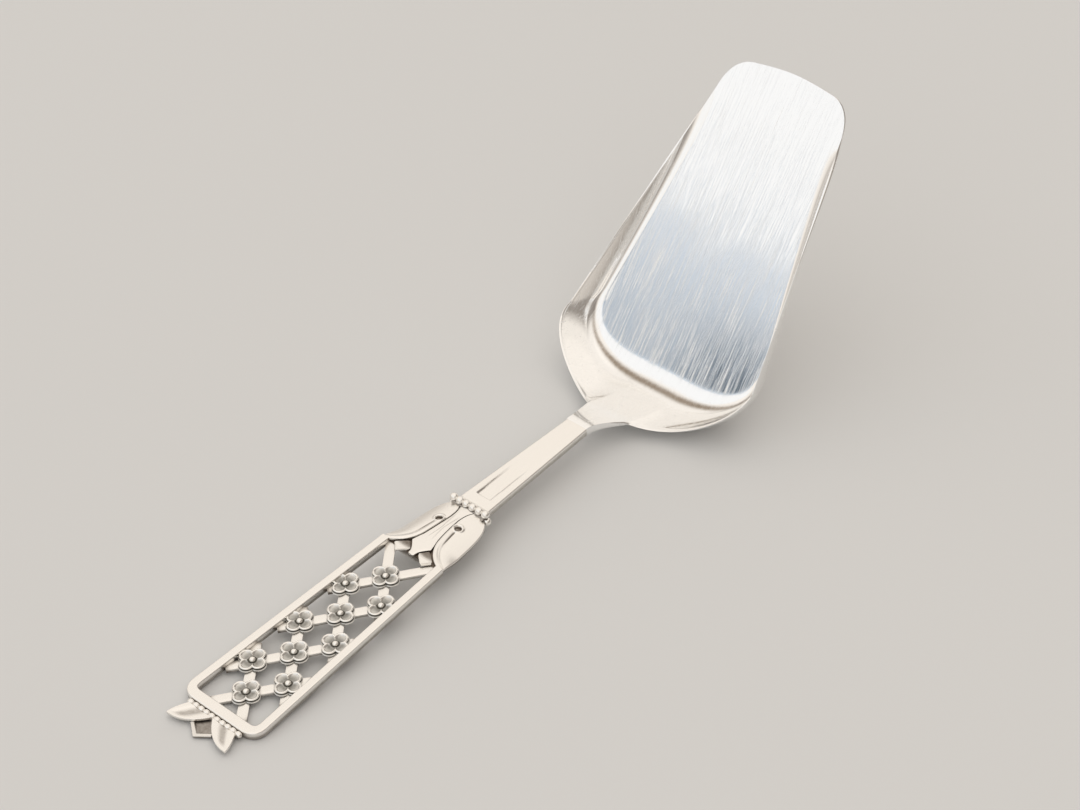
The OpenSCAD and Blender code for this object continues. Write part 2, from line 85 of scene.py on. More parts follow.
# Finial: end beads, leaves and bud
BAR_LEN, BAR_BEAD_R, BAR_BEADS = 18.3, 0.9, 10
BAR_BEAD_RISE, BAR_BEAD_STRETCH, BAR_BEAD_BITE = 0.15, 1.2, 0.02
LEAF_OUT, LEAF_REACH, LEAF_T, LEAF_SINK, LEAF_ROOT = 7.0, 10.2, 0.8, 0.1, 0.2
BUD_OUT, BUD_T = 0.9, 0.7
BAR_SEAT = 0.82 * BAR_BEAD_R
BAR_MID, BAR_BACK, LEAF_S = END_S + BAR_SEAT, END_S + 2 * BAR_SEAT, END_S + LEAF_OUT
BUD_S = LEAF_S + BUD_OUT

# Edge roundings
STEM_EDGE, COLLAR_EDGE, PLATE_EDGE, SCROLL_EDGE, DROP_EDGE = 0.55, 0.4, 0.25, 0.22, 0.25
TAB_EDGE, FRAME_EDGE, STRAP_EDGE, LEAF_EDGE, BUD_EDGE = 0.2, 0.38, 0.16, 0.18, 0.16

# Heights and depths of the relief
STEM_CROWN, RIB_RISE, GROOVE_DEPTH, PIT_DEPTH = 0.12, 0.3, 0.22, 0.55
DROP_DOME, DROP_GROOVE, TAB_HOLLOW = 0.22, 0.10, 0.32
FRAME_DOME, STRAP_DOME, PETAL_FALL, LEAF_HOLLOW, BUD_HOLLOW = 0.08, 0.16, 0.18, 0.42, 0.4


def mixed(a, b, t):
    """Straight run: the point at share t of the way from a to b."""
    a, b = np.asarray(a, float), np.asarray(b, float)
    return a + (b - a) * t


def bend(a, b, c, t):
    """Rounded run from a to c, pulled towards b: squares of (1 - t) and t, and twice their product."""
    a, b, c = (np.asarray(p, float) for p in (a, b, c))
    return (1 - t) ** 2 * a + 2 * t * (1 - t) * b + t ** 2 * c


def swept(a, b, c, d, t):
    """Rounded run from a to d, pulled towards b, then towards c: a straight mix of two bends."""
    first, second = bend(a, b, c, t), bend(b, c, d, t)
    return first + (second - first) * t


def steps(n, last=False):
    """Column of n even shares from 0, up to and with 1 where last is set."""
    return (np.linspace(0, 1, n + 1) if last else np.arange(n) / n)[:, None]


def soft_step(low, high, x):
    """Rises from 0 to 1 between low and high, level at both ends: 3 t squared less 2 t cubed."""
    t = np.clip((x - low) / (high - low), 0, 1)
    return t * t * (3 - 2 * t)


def hump(place, width, x):
    """Round hump of height 1 at place: e to the power of minus the square of distance over width."""
    return np.exp(-((x - place) / width) ** 2)


def at_rest(p):
    """Plane of the handle to the table: turned by TILT about y, shifted and lifted; millimetres to metres."""
    x, y, z = np.moveaxis(np.asarray(p, float), -1, 0)
    ahead = x * math.cos(TILT) - z * math.sin(TILT) + SHIFT
    height = x * math.sin(TILT) + z * math.cos(TILT) + LIFT
    return np.stack([ahead, y, height], -1) / 1000


def rail_half(s):
    """Half width of the handle frame at s, straight from the shoulder to the end."""
    return mixed(SHOULDER_HALF, END_HALF, (s - SHOULDER_S) / (END_S - SHOULDER_S))


def quads(index, closed=False):
    """Four-sided faces of a grid of point numbers; closed joins the last column to the first."""
    if closed:
        index = np.hstack([index, index[:, :1]])
    return np.stack([index[:-1, :-1], index[1:, :-1], index[1:, 1:], index[:-1, 1:]], -1).reshape(-1, 4)


class Work:
    """Grids of points gathered into one piece of silver, with a darkening share for tarnished silver and
    painted shade, and a sheet place at each.
    """

    SAME_PLACE, SHARP_ANGLE = 1e-6, math.radians(40)

    def __init__(self):
        self.points, self.tarnish, self.sheet, self.faces, self.size = [], [], [], [], 0

    def add(self, grid, tarnish=0.0, sheet=None, caps=False, faced=True):
        """Adds a grid of points and gives their numbers. Where faced is set its faces are made too, with the
        last column joined to the first; otherwise the caller makes them. caps fills both ends."""
        shape = grid.shape[:-1]
        index = self.size + np.arange(np.prod(shape)).reshape(shape)
        self.points.append(grid.reshape(-1, 3))
        self.tarnish.append(np.broadcast_to(tarnish, shape).ravel())
        self.sheet.append((grid if sheet is None else sheet).reshape(-1, 3) / 1000)
        self.size += index.size
        if faced:
            self.faces += quads(index, closed=True).tolist()
        if caps:
            self.faces += [index[0].tolist(), index[-1][::-1].tolist()]
        return index

    def finish(self, name, slot, *nodes):
        """Makes the object: doubles merged, faces turned outwards, smooth but for sharp edges."""
        mesh = bpy.data.meshes.new(name)
        mesh.from_pydata(at_rest(np.concatenate(self.points)).tolist(), [], self.faces)
        tarnish = mesh.attributes.new("tarnish", "FLOAT", "POINT")
        tarnish.data.foreach_set("value", np.clip(np.concatenate(self.tarnish), 0, 1))
        sheet = mesh.attributes.new("sheet", "FLOAT_VECTOR", "POINT")
        sheet.data.foreach_set("vector", np.concatenate(self.sheet).ravel())
        work = bmesh.new()
        work.from_mesh(mesh)
        bmesh.ops.remove_doubles(work, verts=work.verts, dist=self.SAME_PLACE)
        bmesh.ops.recalc_face_normals(work, faces=work.faces)
        work.to_mesh(mesh)
        work.free()
        mesh.polygons.foreach_set("use_smooth", np.ones(len(mesh.polygons), bool))
        mesh.set_sharp_from_angle(angle=self.SHARP_ANGLE)
        piece = bpy.data.objects.new(name, mesh)
        scene.collection.objects.link(piece)
        mesh.materials.append(FINISHES[slot])
        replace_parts(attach(piece, "root"), *nodes)


# Finishes

class Wire:
    """A socket of a node tree; sums on it add Math nodes, and add() makes any other node."""

    def __init__(self, tree, socket=None):
        self.tree, self.socket = tree, socket

    def add(self, kind, settings=None, sockets=None, out=0):
        """One node: its settings first, then a value or a link for each socket named; gives its output."""
        node = self.tree.nodes.new(kind)
        for name, value in (settings or {}).items():
            setattr(node, name, value)
        for name, value in (sockets or {}).items():
            if isinstance(value, Wire):
                self.tree.links.new(value.socket, node.inputs[name])
            else:
                node.inputs[name].default_value = value
        return Wire(self.tree, node.outputs[out]) if node.outputs else node

    def sum(self, operation, first, second):
        """One Math node on two values."""
        return self.add("ShaderNodeMath", {"operation": operation}, {0: first, 1: second})

    def __add__(self, other):
        return self.sum("ADD", self, other)

    def __radd__(self, other):
        return self.sum("ADD", other, self)

    def __sub__(self, other):
        return self.sum("SUBTRACT", self, other)

    def __rsub__(self, other):
        return self.sum("SUBTRACT", other, self)

    def __mul__(self, other):
        return self.sum("MULTIPLY", self, other)

    def __rmul__(self, other):
        return self.sum("MULTIPLY", other, self)

    def between(self, low, high):
        """Share from 0 to 1 of the way from low to high, held at both ends."""
        return self.add("ShaderNodeMapRange", {"interpolation_type": "SMOOTHSTEP"},
                        {"Value": self, "From Min": low, "From Max": high})

    def colours(self, first, second):
        """Colour mix by this share."""
        return self.add("ShaderNodeMix", {"data_type": "RGBA"}, {0: self, 6: first, 7: second}, 2)

    def noise(self, place, scale, detail, roughness=0.5):
        """Cloudy value from 0 to 1 at the given place."""
        return self.add("ShaderNodeTexNoise", {},
                        {"Vector": place, "Scale": scale, "Detail": detail, "Roughness": roughness}, "Fac")

    def streaks(self, sheet, turn, scale, detail, roughness):
        """Noise drawn out along the sheet and turned in it; scale is along, across and through, per metre."""
        drawn = self.add("ShaderNodeMapping", {},
                         {"Vector": sheet, "Rotation": (0, 0, turn), "Scale": scale})
        return self.noise(drawn, 1.0, detail, roughness)


def emptied(block):
    """Switches on the nodes of a material or a world, clears them and gives a wire to start from."""
    block.use_nodes = True
    block.node_tree.nodes.clear()
    return Wire(block.node_tree)


CLOUD_SCALE, SPECK_SCALE = 55.0, 900.0
LONG_SCALE, LONG_TURN = (46.0, 3800.0, 600.0), 0.0
STRAY_SCALE, STRAY_TURN = (75.0, 4200.0, 600.0), 0.22
HAIR_SCALE, HAIR_TURN = (80.0, 6000.0, 600.0), -0.06
MARK_DEPTH, BRUSHED_DEPTH, MARK_STRENGTH = 0.00004, 0.00002, 0.12


def silver(name, bright, dark, rough, brushed):
    """Silver finish: polish with cloudy smears and fine marks, darker where the share of tarnished silver and
    painted shade is high.

    brushed is the strength of long fine scratches that follow the sheet place of the piece.
    """
    finish = bpy.data.materials.new(name)
    start = emptied(finish)
    place = start.add("ShaderNodeTexCoord", out="Object")
    sheet = start.add("ShaderNodeAttribute", {"attribute_name": "sheet"}, out="Vector")
    tarnish = start.add("ShaderNodeAttribute", {"attribute_name": "tarnish"}, out="Fac")
    smear = start.noise(place, CLOUD_SCALE, 4.0, 0.6).between(0.35, 0.75)
    speck = start.noise(place, SPECK_SCALE, 3.0, 0.7)
    # Darker colour where the silver is tarnished and where shade is painted in, flecked by specks; it also
    # roughens the surface
    flecked_darkening = (tarnish * (0.7 + speck * 0.6)).between(0.02, 0.95)

    long = start.streaks(sheet, LONG_TURN, LONG_SCALE, 3.0, 0.6).between(0.51, 0.63)
    stray = start.streaks(sheet, STRAY_TURN, STRAY_SCALE, 2.0, 0.5).between(0.60, 0.70)
    hair = start.streaks(sheet, HAIR_TURN, HAIR_SCALE, 2.0, 0.6).between(0.53, 0.65)
    lines = long * 0.8 + stray * 0.5 + hair * 0.6

    marks = (smear * 0.05 + speck * 0.03) * (1 - 0.8 * brushed)
    roughness = rough + marks + flecked_darkening * 0.2 + lines * (0.24 * brushed)
    height = speck * (0.35 - 0.3 * brushed) + lines * brushed
    depth = MARK_DEPTH + (BRUSHED_DEPTH - MARK_DEPTH) * brushed
    bump = start.add("ShaderNodeBump", {},
                     {"Strength": MARK_STRENGTH, "Distance": depth, "Height": height}, "Normal")
    skin = start.add("ShaderNodeBsdfPrincipled", {},
                     {"Base Color": flecked_darkening.colours(bright, dark), "Metallic": 1.0, "Roughness": roughness,
                      "Normal": bump})
    start.add("ShaderNodeOutputMaterial", {}, {"Surface": skin})
    return finish


# The second colour of each finish is reached where the darkening share is full: tarnished silver, and painted
# shade and dark reflections in hollows, under parts and down side walls
FINISHES = {
    "blade_silver": silver(
        "blade_silver_finish", (0.95, 0.945, 0.935, 1), (0.32, 0.27, 0.22, 1), 0.03, 1.0),
    "handle_silver": silver(
        "handle_silver_finish", (0.93, 0.905, 0.865, 1), (0.16, 0.13, 0.105, 1), 0.20, 0.0),
    "blossom_silver": silver(
        "blossom_silver_finish", (0.94, 0.92, 0.88, 1), (0.10, 0.095, 0.08, 1), 0.20, 0.0),
}


# Blade

# Points along each run of half a line round the blade
NECK_POINTS = 16
BLADE_RUNS = (NECK_POINTS, 88, 60, 44, 24)

# Shares that place the pulls of the rim, of the floor's edge inside it, and of both round the tip
RIM_CORNER_U, RIM_BACK_V, RIM_BACK_W, RIM_CORNER_W = 0.33, 0.28, 0.52, 0.73
EDGE_ROOT_V, EDGE_BACK_V, EDGE_CORNER_U, EDGE_SIDE_U, EDGE_TIP_RUN = 0.4, 0.34, 0.08, 1.17, 0.75
EDGE_CORNER_OUT, EDGE_SIDE_SHORT = 0.3, 1.0
TIP_CORNER_END, TIP_PUSH = 0.62, 0.4

# Share where the lip starts to round, the neck's length in sheet places, the painted dark reflection line in
# the back wall, and the painted shade on the underside
LIP, NECK_SHEET = 0.965, 30.0
CREASE_AT, CREASE_WIDTH, CREASE_REFLECTION, UNDER_SHADE = 0.44, 0.065, 0.85, 0.06


def side_v(u):
    """Half width of the rim at u: straight taper from the heel rounding to the tip rounding."""
    return HEEL_W / 2 - (u - HEEL_ROUND) * (HEEL_W - TIP_W) / 2 / (FLOOR_LEN - TIP_ROUND - HEEL_ROUND)


def half_line(start, root, back, corner, side, end, tip_corner, tip):
    """Left half of a line round the blade: a straight run behind, a sweep round the heel, the straight side,
    a bend round the tip corner and a shallow bend to the middle of the tip."""
    tip_start = mixed(tip, tip_corner, TIP_CORNER_END)
    push = (tip[0], TIP_PUSH * tip_start[1], 0)
    t = [steps(n) for n in BLADE_RUNS]
    return np.vstack([mixed(start, root, t[0]), swept(root, back, corner, side, t[1]),
                      mixed(side, end, t[2]), bend(end, tip_corner, tip_start, t[3]),
                      bend(tip_start, push, tip, steps(BLADE_RUNS[4], True))])


def both_halves(half):
    """The left half and its mirror image, closed into one loop."""
    return np.vstack([half, half[-2:0:-1] * (1, -1, 1)])


def rim_line():
    """Rim of the blade: u forward, v left, w up from the floor."""
    heel_u, tip_u = RIM_CORNER_U * HEEL_ROUND, FLOOR_LEN - TIP_BOW
    return both_halves(half_line(
        (-BACK_RUN, 0, BACK_H), (-BACK_RUN, NECK_FLARE / 2, BACK_H),
        (-BACK_RUN, RIM_BACK_V * HEEL_W, RIM_BACK_W * BACK_H),
        (heel_u, side_v(heel_u), RIM_CORNER_W * BACK_H), (HEEL_ROUND, HEEL_W / 2, WALL_H),
        (FLOOR_LEN - TIP_ROUND, TIP_W / 2, 0), (tip_u, side_v(tip_u), 0), (FLOOR_LEN, 0, 0)))


def floor_line():
    """Edge of the flat floor, point for point as the rim has them, one wall run inside it."""
    corner_u, side_u = PAN_BACK + EDGE_CORNER_U * HEEL_ROUND, PAN_BACK + EDGE_SIDE_U * HEEL_ROUND
    end_u, low_u = FLOOR_LEN - TIP_ROUND - EDGE_SIDE_SHORT, FLOOR_LEN - EDGE_TIP_RUN * WALL_RUN
    tip_u = low_u - TIP_BOW
    return both_halves(half_line(
        (PAN_BACK, 0, 0), (PAN_BACK, EDGE_ROOT_V * NECK_FLARE, 0), (PAN_BACK, EDGE_BACK_V * HEEL_W, 0),
        (corner_u, side_v(corner_u) - WALL_RUN + EDGE_CORNER_OUT, 0), (side_u, side_v(side_u) - WALL_RUN, 0),
        (end_u, side_v(end_u) - WALL_RUN, 0), (tip_u, side_v(tip_u) - WALL_RUN, 0), (low_u, 0, 0)))


def wall(rim, edge, x):
    """Wall of the blade at share x of the way from floor edge to rim: its height is the rim's times x to the
    power BOWL; the underside is the same surface moved one sheet along its slope's normal."""
    x = x[:, None]
    out = (rim - edge)[None, :, :2]
    top = np.concatenate([edge[None, :, :2] + out * x[..., None], (rim[:, 2] * x ** BOWL)[..., None]], -1)
    run = np.linalg.norm(out, axis=-1)
    rise = rim[None, :, 2] * BOWL * x ** (BOWL - 1)
    slant = np.hypot(run, rise)
    outwards = out * (SHEET * rise / slant / run)[..., None]
    downwards = (-SHEET * run / slant)[..., None]
    return top, top + np.concatenate([outwards, downwards], -1)


def placed(p):
    """Blade to handle: turned up by FLOOR_RISE about the heel, which is set ahead of and below the collar."""
    u, v, w = np.moveaxis(p, -1, 0)
    return np.stack([HEEL_X + u * math.cos(FLOOR_RISE) - w * math.sin(FLOOR_RISE), v,
                     u * math.sin(FLOOR_RISE) + w * math.cos(FLOOR_RISE) - HEEL_DROP], -1)


def neck_tab(q, g, half_share):
    """Neck at share q from back wall to seam, g across from -1 to 1: a bend whose end runs in line with the
    stem, narrowing by NECK_POWER, its thickness growing from the sheet's to the stem's. Gives top and
    underside."""
    along = np.array([math.cos(STEM_SLOPE), 0, -math.sin(STEM_SLOPE)])
    start = placed(np.array([-BACK_RUN, 0, BACK_H]))
    seam = STEM_LEN * along - (0, 0, STEM_SINK)
    lead = seam + NECK_LEAD * along
    q = q[:, None, None]
    way = (1 - q) * (lead - start) + q * (seam - lead)
    upright = np.stack([way[..., 2], 0 * way[..., 0], -way[..., 0]], -1)
    up = upright / np.linalg.norm(way, axis=-1, keepdims=True)
    half = NECK_W / 2 + (NECK_FLARE - NECK_W) / 2 * (1 - q) ** NECK_POWER
    top = bend(start, lead, seam, q) + (0, 1, 0) * (half * half_share * g[None, :, None])
    return top, top - up * mixed(SHEET, STEM_T, q)


def make_blade():
    """Blade and neck tab as one closed sheet: floor rings and wall rings above and below, the neck's rows,
    and a rounded lip carried round the whole outline."""
    rim, edge = rim_line(), floor_line()
    n, a = len(rim), NECK_POINTS
    floor_share = np.concatenate([np.linspace(0, 0.96, 15), [0.975, 0.985, 0.993]])
    wall_share = np.concatenate([np.linspace(0, 0.4, 25)[:-1], np.linspace(0.4, LIP, 30)])
    floor_top = mixed((FLOOR_LEN / 2, 0, 0), edge[None], floor_share[:, None, None])
    wall_top, wall_under = wall(rim, edge, wall_share)
    top = np.concatenate([floor_top, wall_top])
    under = np.concatenate([floor_top - (0, 0, SHEET), wall_under])
    brim_top, brim_under = wall(rim, edge, np.ones(1))
    brim = placed(mixed(brim_top[0], brim_under[0], 0.5))

    q, g = np.linspace(0, 1, 41)[1:], np.linspace(-1, 1, 2 * a + 1)
    tab_top, tab_under = neck_tab(q, g, LIP)
    tab_edge = mixed(*neck_tab(q, g, 1.0), 0.5)
    tab_back = -BACK_RUN - NECK_SHEET * q[:, None]
    tab_sheet = np.stack(np.broadcast_arrays(tab_back, tab_top[..., 1], BACK_H), -1)

    share = np.concatenate([np.zeros_like(floor_share), wall_share])[:, None]
    # Painted dark reflection line across the back wall, fading down its sides; the blade's and the neck's
    # undersides get a faint painted shade
    crease_reflection = hump(CREASE_AT, CREASE_WIDTH, share) * soft_step(0.3, 0.8, rim[:, 2] / BACK_H)[None]
    work = Work()
    top_at = work.add(placed(top), CREASE_REFLECTION * crease_reflection, top)
    under_at = work.add(placed(under), UNDER_SHADE, under)
    tab_top_at = work.add(tab_top, 0.0, tab_sheet, faced=False)
    tab_under_at = work.add(tab_under, UNDER_SHADE, tab_sheet, faced=False)
    near = np.arange(-a, a + 1) % n
    tab_top_at = np.vstack([top_at[-1, near], tab_top_at])
    tab_under_at = np.vstack([under_at[-1, near], tab_under_at])
    work.faces += quads(tab_top_at).tolist() + quads(tab_under_at).tolist()

    def outline(at, neck):
        """Point numbers once round the blade and the neck."""
        return np.concatenate([at[a:n - a + 1], neck[1:, 0], neck[-1, 1:-1], neck[:0:-1, -1]])

    upper, lower = outline(top_at[-1], tab_top_at), outline(under_at[-1], tab_under_at)
    points = np.concatenate(work.points)
    seam_edge = mixed(tab_top[-1], tab_under[-1], 0.5)
    mid = np.concatenate([brim[a:n - a + 1], tab_edge[:, 0], seam_edge[1:-1], tab_edge[::-1, -1]])
    pull = 2 * mid - (points[upper] + points[lower]) / 2
    lip = bend(points[upper], pull, points[lower], np.linspace(0, 1, 7)[1:-1, None, None])
    lip_sheet = np.broadcast_to(np.concatenate(work.sheet)[upper] * 1000, lip.shape)
    lip_at = work.add(lip, 0.0, lip_sheet, faced=False)
    work.faces += quads(np.vstack([upper, lip_at, lower]), closed=True).tolist()
    work.finish("silver_blade", "blade_silver", "blade")


# Bars, plates and balls of the handle

def section(flat, corner):
    """Loop round a rounded bar: shares across and up for the straight part, and for the corner radius. The
    second half of the loop is the first half turned about."""
    run, fall = np.linspace(-1, 1, flat), np.linspace(1, -1, 4)
    turn = np.linspace(0, math.pi / 2, corner + 2)[1:-1]
    sin, cos = np.sin(turn), np.cos(turn)
    one, none = np.ones_like, np.zeros_like
    half = [(run, none(run), one(run), one(run)), (one(turn), sin, one(turn), cos),
            (one(fall), one(fall), fall, none(fall)), (one(turn), cos, -one(turn), -sin)]
    return [np.concatenate(part + tuple(-p for p in part)) for part in zip(*half)]


def bar(path, side, low, high, radius, flat=17, corner=4, relief=None):
    """Bar carried along a path: at each station a rounded rectangle that reaches one side vector to each side
    of the path and from low to high; relief(x, y, across) is added to the height of the top, fading round its
    corners. Gives the points and their shares across."""
    across, across_round, up, up_round = section(flat, corner)
    reach = np.linalg.norm(side, axis=1)[:, None]
    low, high = (np.broadcast_to(v, len(path))[:, None] for v in (low, high))
    r = np.minimum(radius, 0.96 * np.minimum(reach, (high - low) / 2))
    sideways = across * (reach - r) + across_round * r
    height = (low + high) / 2 + up * ((high - low) / 2 - r) + up_round * r
    grid = path[:, None] + (side / reach)[:, None] * sideways[..., None]
    grid[..., 2] += height
    share = sideways / reach
    if relief is not None:
        fade = np.clip(up_round, 0, 1) * (up > 0)
        grid[..., 2] += relief(grid[..., 0], grid[..., 1], share) * fade
    return grid, share


def plan(s, y):
    """Points of the handle's plan from s and y, at height 0."""
    s, y = np.broadcast_arrays(np.asarray(s, float), np.asarray(y, float))
    return np.stack([-s, y, 0 * s], -1)


def ball(centre, r):
    """Ball: angles down from the pole and round the axis."""
    down = np.linspace(0, math.pi, 15)[:, None]
    about = np.linspace(0, 2 * math.pi, 25)[None, :-1]
    return np.asarray(centre, float) + r * np.stack(np.broadcast_arrays(
        np.sin(down) * np.cos(about), np.sin(down) * np.sin(about), np.cos(down)), -1)


# Stem and collar

def make_stem():
    """Stem: straight taper from collar to seam, its top a little crowned, with a panel sunk into it that is
    deepest at the collar end and fades out towards the blade."""
    along = np.linspace(COLLAR_LEN / 2, STEM_LEN, 160)
    half = mixed(STEM_W / 2, NECK_W / 2, along / STEM_LEN)
    panel_half, wall_soft, end_soft = PANEL_W / 2, 0.18, 0.2

    def relief(x, y, share):
        fade = np.clip(1 - (x - PANEL_START) / PANEL_LEN, 0, 1)
        inside = soft_step(panel_half + wall_soft, panel_half - wall_soft, np.abs(y))
        panel = inside * soft_step(-end_soft, end_soft, x - PANEL_START)
        return -PANEL_DEPTH * fade * panel - STEM_CROWN * share ** 4

    grid, _ = bar(plan(-along, 0), plan(0 * half, half), -STEM_T, 0, STEM_EDGE, 61, 5, relief)
    x, y, up = np.moveaxis(grid, -1, 0)
    # Painted shade along the edges of the sunk panel, fading towards the blade, down the stem's lower sides
    # and next to the collar
    panel_edge = (np.abs(np.abs(y) - panel_half) < 0.35) * (up > -0.7) * (x > PANEL_START)
    dark = 0.35 * panel_edge * soft_step(23, 12, x)
    dark = dark + 0.5 * soft_step(-0.6, -1.3, up) + 0.5 * soft_step(2.0, 1.3, x)
    turned = np.stack([x * math.cos(STEM_SLOPE) + up * math.sin(STEM_SLOPE), y,
                       up * math.cos(STEM_SLOPE) - x * math.sin(STEM_SLOPE) - STEM_SINK], -1)
    work = Work()
    work.add(turned, dark, grid, caps=True)
    work.finish("silver_stem", "handle_silver", "stem")


def make_collar():
    """Collar: a rounded band across the handle, and balls cut off where they sit on it."""
    y = np.linspace(-COLLAR_W / 2, COLLAR_W / 2, 40)
    grid, _ = bar(plan(0, y), plan(0 * y + COLLAR_LEN / 2, 0), -COLLAR_SINK - COLLAR_H, -COLLAR_SINK,
                  COLLAR_EDGE, 13)
    band = Work()
    # Painted shade on the top strip of the band, between the beads, over a slight even darkening all round
    band.add(grid, 0.4 * (grid[..., 2] > -COLLAR_SINK - 0.5) + 0.2, caps=True)
    band.finish("silver_collar_band", "handle_silver", "collar_band")

    beads, seat, full = Work(), BEAD_SEAT * BEAD_R, BEAD_FULL * BEAD_R
    step = COLLAR_W / (BEAD_COUNT - 1)
    # Painted shade on each bead where it meets the band, for the top row and the side beads alike
    for i in range(BEAD_COUNT):
        grid = ball((0, (i - (BEAD_COUNT - 1) / 2) * step, seat - COLLAR_SINK), full)
        grid[..., 2] = np.maximum(grid[..., 2], -COLLAR_SINK)
        beads.add(grid, 0.6 * soft_step(0.6, 0.0, grid[..., 2] + COLLAR_SINK))
    for side in (-1, 1):
        grid = ball((0, side * (COLLAR_W / 2 + seat), -COLLAR_SINK - SIDE_BEAD_DROP * BEAD_R), full)
        grid[..., 1] = side * np.maximum(side * grid[..., 1], COLLAR_W / 2)
        beads.add(grid, 0.6 * soft_step(0.6, 0.0, side * grid[..., 1] - COLLAR_W / 2))
    beads.finish("silver_collar_beads", "handle_silver", "collar_beads")


# Shoulder

RUN = steps(60, True)
OUTER = swept((COLLAR_LEN / 2, ROOT_HALF), (2.6, SHOULDER_FULL), (12, SHOULDER_HALF - 1.5),
              (SHOULDER_S, SHOULDER_HALF - 0.15), RUN)
WAIST, FLARE = np.array([6, 1.5]), np.array([15, 2.5])
BESIDE_DROP = np.vstack([bend((COLLAR_LEN / 2, 2.5), (2.6, 1.5), WAIST, RUN),
                         bend(WAIST, (11.5, 1.9), FLARE, RUN[1:])])
TO_RAIL = bend(FLARE, (19.9, 3.6), (SHOULDER_S, SHOULDER_HALF - RAIL_W + 0.15), RUN[1:])
INNER = np.vstack([BESIDE_DROP, TO_RAIL])


def outer_y(s):
    """Outer edge of the shoulder at s, read along its sweep."""
    return np.interp(s, OUTER[:, 0], OUTER[:, 1])


def inner_y(s):
    """Inner edge of a scroll plate at s: beside the drop, then swept out to the rail."""
    return np.interp(s, INNER[:, 0], INNER[:, 1])


def crown(x, y):
    """Height of the shoulder's crown: a straight rise from the collar less the sag of a round of CROWN_R
    across, held softly below the rail tops, and levelled out where it meets the rails."""
    level = CROWN_RISE * (-x - COLLAR_LEN / 2) - CROWN_SINK - CROWN_R + np.sqrt(CROWN_R ** 2 - y ** 2)
    levelled = LEVEL_SHARE * soft_step(LEVEL_FROM, LEVEL_TO, -x)
    return (level - np.hypot(level, CROWN_SOFT)) / 2 * (1 - levelled)


def make_shoulder_plate():
    """Base plate between the outer edges, squashed from above to follow the crown."""
    s, low = np.linspace(COLLAR_LEN / 2, SHOULDER_S, 90), -RAISED_T - PLATE_T
    grid, _ = bar(plan(s, 0), plan(0 * s, outer_y(s) - PLATE_INSET), low, -RAISED_T, PLATE_EDGE, 41, 3)
    upper = grid[..., 2] > -RAISED_T - 0.2
    sag = np.maximum(crown(grid[..., 0], grid[..., 1]), -PLATE_SAG)
    grid[..., 2] = low + (grid[..., 2] - low) * (1 + sag / PLATE_T)
    base = Work()
    # Painted shade: full on the plate's top, which shows in the gaps between scrolls and drop, and a third as
    # much on its sides and underside
    base.add(grid, 0.35 + 0.65 * upper, caps=True)
    base.finish("silver_shoulder_plate", "handle_silver", "shoulder_plate")


def make_scrolls():
    """Scroll plates between inner and outer edge, with a rib along the inner edge that ends round an eyelet,
    and a groove beside the rib. Stations lie closer towards the rails. The plates follow the crown."""
    share_back = 1 - (1 - np.linspace(0, 1, 170)) ** 1.35
    s = COLLAR_LEN / 2 + (SHOULDER_S - COLLAR_LEN / 2) * share_back
    inner, outer = inner_y(s), outer_y(s)
    slope = np.gradient(inner, s)
    for side, name in ((1, "left_scroll"), (-1, "right_scroll")):
        def forms(x, y):
            """Shares of rib, groove, ring and pit, from the distances to the inner edge and to the eyelet."""
            back = -x
            off = (side * y - inner_y(back)) / np.hypot(1, np.interp(back, s, slope))
            away = np.hypot(back - EYELET_S, side * y - EYELET_Y)
            head = soft_step(EYELET_S - 0.2, EYELET_S + 1.2, back)
            rib = hump(RIB_OFF, RIB_SPREAD, off) * head
            groove = hump(GROOVE_OFF + GROOVE_DRIFT * (back - 9), GROOVE_SPREAD, off) * head
            groove = groove * (0.3 + 0.7 * soft_step(17, 12.5, back))
            ring = hump(EYELET_R + RING_OFF, RING_SPREAD, away)
            pit = soft_step(EYELET_R + PIT_SOFT, EYELET_R - PIT_SOFT, away)
            return rib, groove, ring, pit

        def relief(x, y, share):
            rib, groove, ring, pit = forms(x, y)
            return RIB_RISE * np.maximum(rib, ring) - GROOVE_DEPTH * groove * (1 - ring) - PIT_DEPTH * pit

        grid, _ = bar(plan(s, side * (inner + outer) / 2), plan(0 * s, (outer - inner) / 2),
                      -RAISED_T, -SCROLL_SINK, SCROLL_EDGE, 91, 4, relief)
        _, groove, ring, pit = forms(grid[..., 0], grid[..., 1])
        # Painted shade down the plate walls and in the eyelet pit; the groove beside the rib is darkened both
        # as tarnished silver and as painted shade
        walls = 0.7 * soft_step(-0.5, -0.75, grid[..., 2]) * (1 - pit)
        pit_dark = pit * (0.7 + 0.3 * soft_step(0, 0.6, EYELET_S + grid[..., 0]))
        dark = np.maximum(0.85 * groove * (1 - ring), walls) + pit_dark
        grid[..., 2] = np.maximum(grid[..., 2] + crown(grid[..., 0], grid[..., 1]), -RAISED_T - PLATE_T)
        plate = Work()
        plate.add(grid, dark, caps=True)
        plate.finish("silver_" + name, "handle_silver", name)


